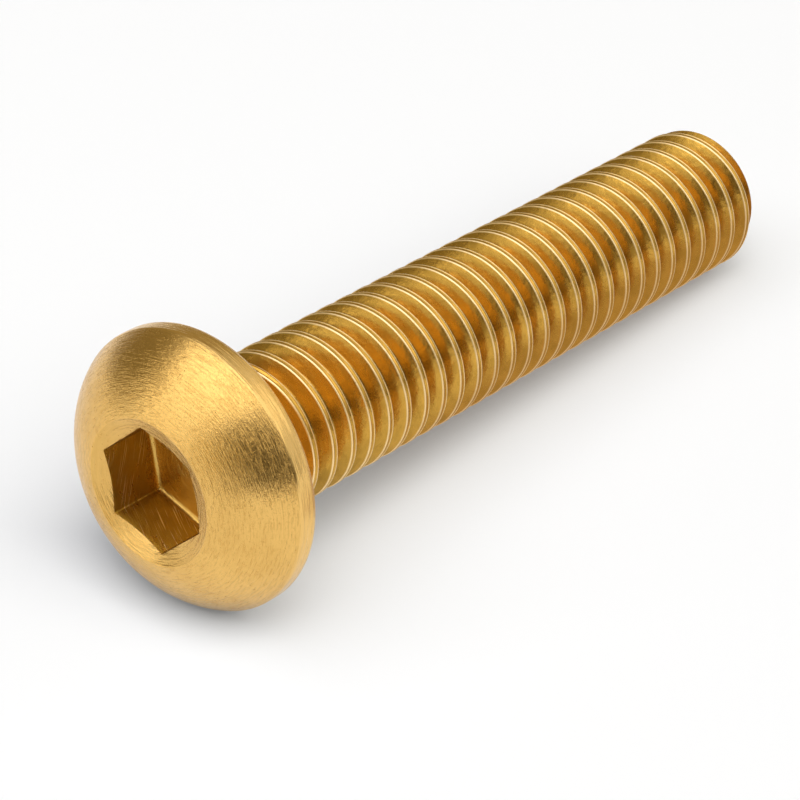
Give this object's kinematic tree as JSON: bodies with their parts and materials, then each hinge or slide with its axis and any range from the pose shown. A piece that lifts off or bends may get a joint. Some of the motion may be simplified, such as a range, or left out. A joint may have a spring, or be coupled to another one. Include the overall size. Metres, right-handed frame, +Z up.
{
  "type": "button head socket screw",
  "caption": "Button head machine screw with a low domed head, a hexagon socket in a shallow countersink, and a right-hand thread up to a bevelled tip.",
  "frame": {"origin": "centre of the bearing face under the head", "axes": "+Z is up and +X points level from the head towards the tip; the screw lies on a flat surface on the low edge of its head and the last crests of its thread, so its axis dips 4.6 degrees from +X towards -Z"},
  "size_m": [0.0328, 0.0104, 0.0105],
  "materials": {
    "brass": "satin, as turned"
  },
  "bodies": {
    "root": {"screw": "brass"}
  },
  "joints": []
}
